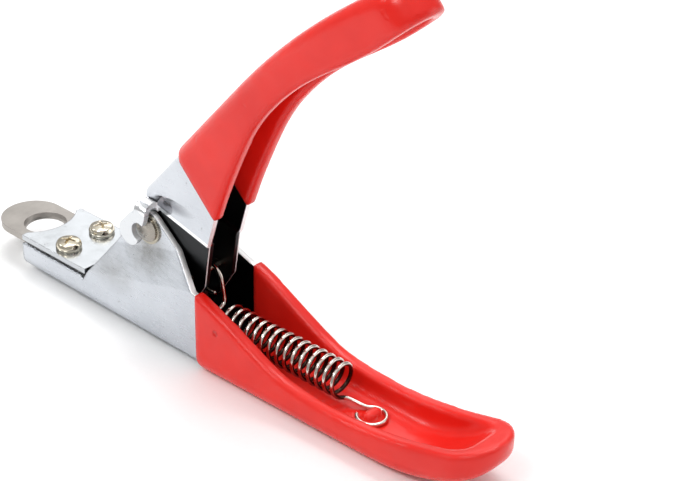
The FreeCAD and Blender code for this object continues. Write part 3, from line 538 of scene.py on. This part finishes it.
def apply_modifiers(obj):
    graph = bpy.context.evaluated_depsgraph_get()
    made = bpy.data.meshes.new_from_object(obj.evaluated_get(graph))
    old = obj.data
    obj.modifiers.clear()
    obj.data = made
    bpy.data.meshes.remove(old)


def smooth(obj):
    for polygon in obj.data.polygons:
        polygon.use_smooth = True


def ring_quads(rows, sides):
    """Faces between neighbouring rings of points."""
    quads = []
    for i in range(rows):
        for k in range(sides):
            a = i * sides + k
            b = i * sides + (k + 1) % sides
            quads.append((a, b, b + sides, a + sides))
    return quads


def tube(name, points, radius, sides=12):
    """A round wire along points, with closed ends."""
    verts = []
    heading = (points[1] - points[0]).normalized()
    normal = heading.orthogonal().normalized()
    for i, point in enumerate(points):
        ahead = points[min(i + 1, len(points) - 1)] - points[max(i - 1, 0)]
        ahead.normalize()
        turn = heading.rotation_difference(ahead)
        normal = (turn @ normal).normalized()
        heading = ahead
        across = heading.cross(normal)
        for k in range(sides):
            a = 2 * math.pi * k / sides
            verts.append(point + (normal * math.cos(a) + across * math.sin(a)) * radius)
    faces = ring_quads(len(points) - 1, sides)
    faces.append(tuple(reversed(range(sides))))
    faces.append(tuple(range(len(verts) - sides, len(verts))))
    mesh = bpy.data.meshes.new(name)
    mesh.from_pydata(verts, [], faces)
    obj = link(bpy.data.objects.new(name, mesh))
    smooth(obj)
    return obj


# ---------------------------------------------------------------- dipped grips

CORE_SETBACK = 0.4 * MM
SKIN_VOXEL = 0.34 * MM
RELAX_ROUNDS = 42


def core_and_grip(name, grip, steel, start, heading):
    """The steel from the grip's front on and the grip round it, as one mesh."""
    core = nodes[steel].data.copy()
    work = bmesh.new()
    work.from_mesh(core)
    cut = bmesh.ops.bisect_plane(
        work,
        geom=work.verts[:] + work.edges[:] + work.faces[:],
        plane_co=start + heading * CORE_SETBACK,
        plane_no=heading,
        clear_inner=True,
    )
    rim = [e for e in cut["geom_cut"] if isinstance(e, bmesh.types.BMEdge)]
    bmesh.ops.holes_fill(work, edges=rim)
    work.from_mesh(nodes[grip].data)
    mesh = bpy.data.meshes.new(name)
    work.to_mesh(mesh)
    work.free()
    bpy.data.meshes.remove(core)
    return mesh


def dipped_grip(name, grip, steel, start, heading, body):
    """The grip with its steel core inside, melted into one skin with fat rounded rims."""
    mesh = core_and_grip(name, grip, steel, start, heading)
    obj = link(bpy.data.objects.new(name, mesh))
    remesh = obj.modifiers.new("skin", "REMESH")
    remesh.mode = "VOXEL"
    remesh.voxel_size = SKIN_VOXEL
    relax = obj.modifiers.new("relax", "SMOOTH")
    relax.factor = 0.5
    relax.iterations = RELAX_ROUNDS
    apply_modifiers(obj)
    smooth(obj)
    obj.data.materials.clear()
    obj.data.materials.append(vinyl_mat)
    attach(obj, body)
    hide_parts(grip)


main_start = Vector((MAIN_GRIP_FRONT, 0, 0))
dipped_grip("main_grip_skin", "main_grip", "main_frame", main_start, Vector((1, 0, 0)), "frame")
dipped_grip("lever_grip_skin", "lever_grip", "lever_frame", LEVER_GRIP_FRONT, ALONG, "lever")


# ---------------------------------------------------------------- return spring

HOOK_STEPS = 40
HOOK_LEG_STEPS = 6
STEPS_PER_TURN = 40
LOOP_LEG_STEPS = 7
LOOP_STEPS = 44
SOFTENING_ROUNDS = 3


def on_ring(centre, radius, degrees, side):
    """A point on a circle that turns from +X towards a side."""
    a = math.radians(degrees)
    return centre + (Vector((1, 0, 0)) * math.cos(a) + side * math.sin(a)) * radius


def hook_points(first):
    """The front hook over the anchor pin, ending where its leg leaves for the coil's first point."""
    drop = COIL - WIRE - PIN_RADIUS - HOOK_CLEARANCE
    hook = ANCHOR + (first - ANCHOR).normalized() * drop
    towards_coil = math.atan2(first.z - hook.z, first.x - hook.x)
    touch = math.degrees(towards_coil + math.acos(COIL / (first - hook).length))
    angles = [touch + HOOK_TURN * (1 - i / HOOK_STEPS) for i in range(HOOK_STEPS + 1)]
    return [on_ring(hook, COIL, angle, Vector((0, 0, 1))) for angle in angles]


def coil_points():
    steps = int(TURNS * STEPS_PER_TURN)
    points = []
    for i in range(steps + 1):
        a = 2 * math.pi * TURNS * i / steps
        across = Vector((0, -math.sin(a), math.cos(a))) * COIL
        points.append(COIL_START + Vector((COIL_LENGTH * i / steps, 0, 0)) + across)
    return points


def loop_points():
    """The flat rear loop round the frame's tab."""
    angles = [LOOP_START - LOOP_TURN * i / LOOP_STEPS for i in range(LOOP_STEPS + 1)]
    return [on_ring(LOOP_CENTRE, LOOP, angle, Vector((0, 1, 0))) for angle in angles]


def leg_points(start, end, steps):
    """The points of a straight leg, without its two ends."""
    return [start.lerp(end, i / steps) for i in range(1, steps)]


def soften(points, rounds):
    """Rounds the wire's few sharp knees as a bending tool leaves them."""
    for _ in range(rounds):
        triples = zip(points, points[1:], points[2:])
        middle = [(before + here * 2 + after) / 4 for before, here, after in triples]
        points = [points[0]] + middle + [points[-1]]
    return points


def spring_path():
    coil = coil_points()
    hook = hook_points(coil[0])
    loop = loop_points()
    hook_leg = leg_points(hook[-1], coil[0], HOOK_LEG_STEPS)
    loop_leg = leg_points(coil[-1], loop[0], LOOP_LEG_STEPS)
    return soften(hook + hook_leg + coil + loop_leg + loop, SOFTENING_ROUNDS)


spring = tube("return_spring_wire", spring_path(), WIRE)
spring.data.materials.append(wire_mat)
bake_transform(spring)
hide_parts("return_spring")


# ---------------------------------------------------------------- head screws

HEAD_RINGS = 44
HEAD_SIDES = 144

# Heights as shares of the head's rise.
CROWN_FALL = 0.26
ROUND_FALL = 0.34
CROSS_DEPTH = 0.55

# Places as shares of the head's radius.
ROUND_START = 0.82
CROSS_ARM = 0.60
CROSS_HALF_WIDTH = 0.15

# The cross narrows to this share of its width at its tips.
CROSS_TIP = 0.55
WALL_STEEPNESS = 3.0
TIP_STEEPNESS = 2.6


def cross_recess(along, across):
    """The depth of the tapered cross at a place, from 0 to 1."""
    deep = 0.0
    for length_way, width_way in ((along, across), (across, along)):
        taper = max(0.0, 1 - length_way / CROSS_ARM)
        half_width = CROSS_HALF_WIDTH * (CROSS_TIP + (1 - CROSS_TIP) * taper)
        inside = max(0.0, 1 - width_way / half_width)
        depth = min(1.0, inside * WALL_STEEPNESS) * min(1.0, taper * TIP_STEEPNESS)
        deep = max(deep, depth)
    return deep


def head_height(share, angle):
    """The head's height at a share of its radius and an angle from the cross."""
    height = 1 - CROWN_FALL * share ** 2
    if share > ROUND_START:
        height -= ROUND_FALL * ((share - ROUND_START) / (1 - ROUND_START)) ** 2
    along = abs(share * math.cos(angle))
    across = abs(share * math.sin(angle))
    return height - CROSS_DEPTH * cross_recess(along, across)


def pan_head(name, node, turned):
    """A pan head on the cover plate, with its cross turned by some degrees."""
    low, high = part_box(node)
    centre = Vector(((low.x + high.x) / 2, (low.y + high.y) / 2, COVER_TOP))
    radius = (high.x - low.x) / 2
    rise = high.z - COVER_TOP
    angles = [2 * math.pi * k / HEAD_SIDES for k in range(HEAD_SIDES)]
    verts = []
    for i in range(HEAD_RINGS + 1):
        share = i / HEAD_RINGS
        r = radius * share
        for a in angles:
            z = rise * head_height(share, a - math.radians(turned))
            verts.append(centre + Vector((r * math.cos(a), r * math.sin(a), z)))
    verts += [centre + Vector((math.cos(a), math.sin(a), 0)) * radius for a in angles]
    faces = [tuple(reversed(quad)) for quad in ring_quads(HEAD_RINGS + 1, HEAD_SIDES)]
    faces.append(tuple(reversed(range(len(verts) - HEAD_SIDES, len(verts)))))
    mesh = bpy.data.meshes.new(name)
    mesh.from_pydata(verts, [], faces)
    work = bmesh.new()
    work.from_mesh(mesh)
    bmesh.ops.remove_doubles(work, verts=work.verts[:], dist=1e-7)
    work.to_mesh(mesh)
    work.free()
    obj = link(bpy.data.objects.new(name, mesh))
    smooth(obj)
    mesh.materials.append(nickel_mat)
    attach(obj, "frame")
    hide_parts(node)


pan_head("pan_head_near", "head_screw_near", turned=24)
pan_head("pan_head_far", "head_screw_far", turned=63)


# ---------------------------------------------------------------- floor, light and camera

FLOOR_REACH = 8.0

# The sky's grey against its height: 0 is the horizon and below, 1 is straight above.
SKY = [(0.0, 0.34), (0.5, 0.42), (0.66, 0.62), (0.85, 0.95), (1.0, 1.05)]
SKY_STRENGTH = 1.06

LIGHT_TARGET = Vector((0, 0, 0.03))
# Name, place, width, height, watts.
SOFTBOXES = [
    ("softbox_top", (-0.25, 0.35, 1.1), 0.60, 0.40, 4.8),
    ("softbox_right", (0.85, 0.80, 0.34), 0.70, 0.60, 2.2),
    ("softbox_front", (0.10, -0.75, 0.95), 0.40, 0.30, 3.2),
    ("softbox_left", (-0.70, -0.56, 0.74), 0.26, 0.18, 1.8),
    ("softbox_back", (-0.70, 0.77, 0.60), 0.60, 0.45, 1.1),
]

VIEW_FROM = Vector((0.58266, -0.64059, 0.50015))
VIEW_TARGET = Vector((0.02871, 0.00062, 0.03807))
VIEW_DISTANCE = 0.3335
VIEW_ROLL = 1.07
SENSOR_MM = 36.0
LENS_MM = 95.77059


def make_floor():
    mesh = bpy.data.meshes.new("floor")
    corners = [(-1, -1, 0), (1, -1, 0), (1, 1, 0), (-1, 1, 0)]
    mesh.from_pydata([Vector(corner) * FLOOR_REACH for corner in corners], [], [(0, 1, 2, 3)])
    floor = link(bpy.data.objects.new("floor", mesh))
    mat, tree, shader = new_material("floor_white")
    paper = ramp(tree, noise(tree, 900), [(0.2, 0.93), (0.8, 0.95)])
    tree.links.new(paper, shader.inputs["Base Color"])
    shader.inputs["Roughness"].default_value = 0.7
    mesh.materials.append(mat)


def make_world():
    world = bpy.data.worlds.new("studio")
    bpy.context.scene.world = world
    world.use_nodes = True
    tree = world.node_tree
    tree.nodes.clear()
    out = tree.nodes.new("ShaderNodeOutputWorld")
    back = tree.nodes.new("ShaderNodeBackground")
    source = tree.nodes.new("ShaderNodeTexCoord")
    shade = ramp(tree, split(tree, source.outputs["Generated"])["Z"], SKY)
    tree.links.new(shade, back.inputs["Color"])
    back.inputs["Strength"].default_value = SKY_STRENGTH
    tree.links.new(back.outputs["Background"], out.inputs["Surface"])


def area_light(name, place, width, height, watts):
    lamp = bpy.data.lights.new(name, "AREA")
    lamp.shape = "RECTANGLE"
    lamp.size = width
    lamp.size_y = height
    lamp.energy = watts
    obj = link(bpy.data.objects.new(name, lamp))
    obj.location = place
    obj.rotation_mode = "QUATERNION"
    obj.rotation_quaternion = (LIGHT_TARGET - Vector(place)).to_track_quat("-Z", "Y")


def make_camera():
    data = bpy.data.cameras.new("camera")
    camera = link(bpy.data.objects.new("camera", data))
    back = VIEW_FROM.normalized()
    level_right = Vector((-back.y, back.x, 0)).normalized()
    level_up = back.cross(level_right)
    roll = math.radians(VIEW_ROLL)
    right = level_right * math.cos(roll) + level_up * math.sin(roll)
    up = level_up * math.cos(roll) - level_right * math.sin(roll)
    camera.matrix_world = Matrix((right, up, back)).transposed().to_4x4()
    camera.location = VIEW_TARGET + back * VIEW_DISTANCE
    data.sensor_width = SENSOR_MM
    data.lens = LENS_MM
    data.clip_start = 0.01
    data.clip_end = 20.0
    bpy.context.scene.camera = camera


make_floor()
make_world()
for softbox in SOFTBOXES:
    area_light(*softbox)
make_camera()
bpy.context.scene.view_settings.view_transform = "Standard"
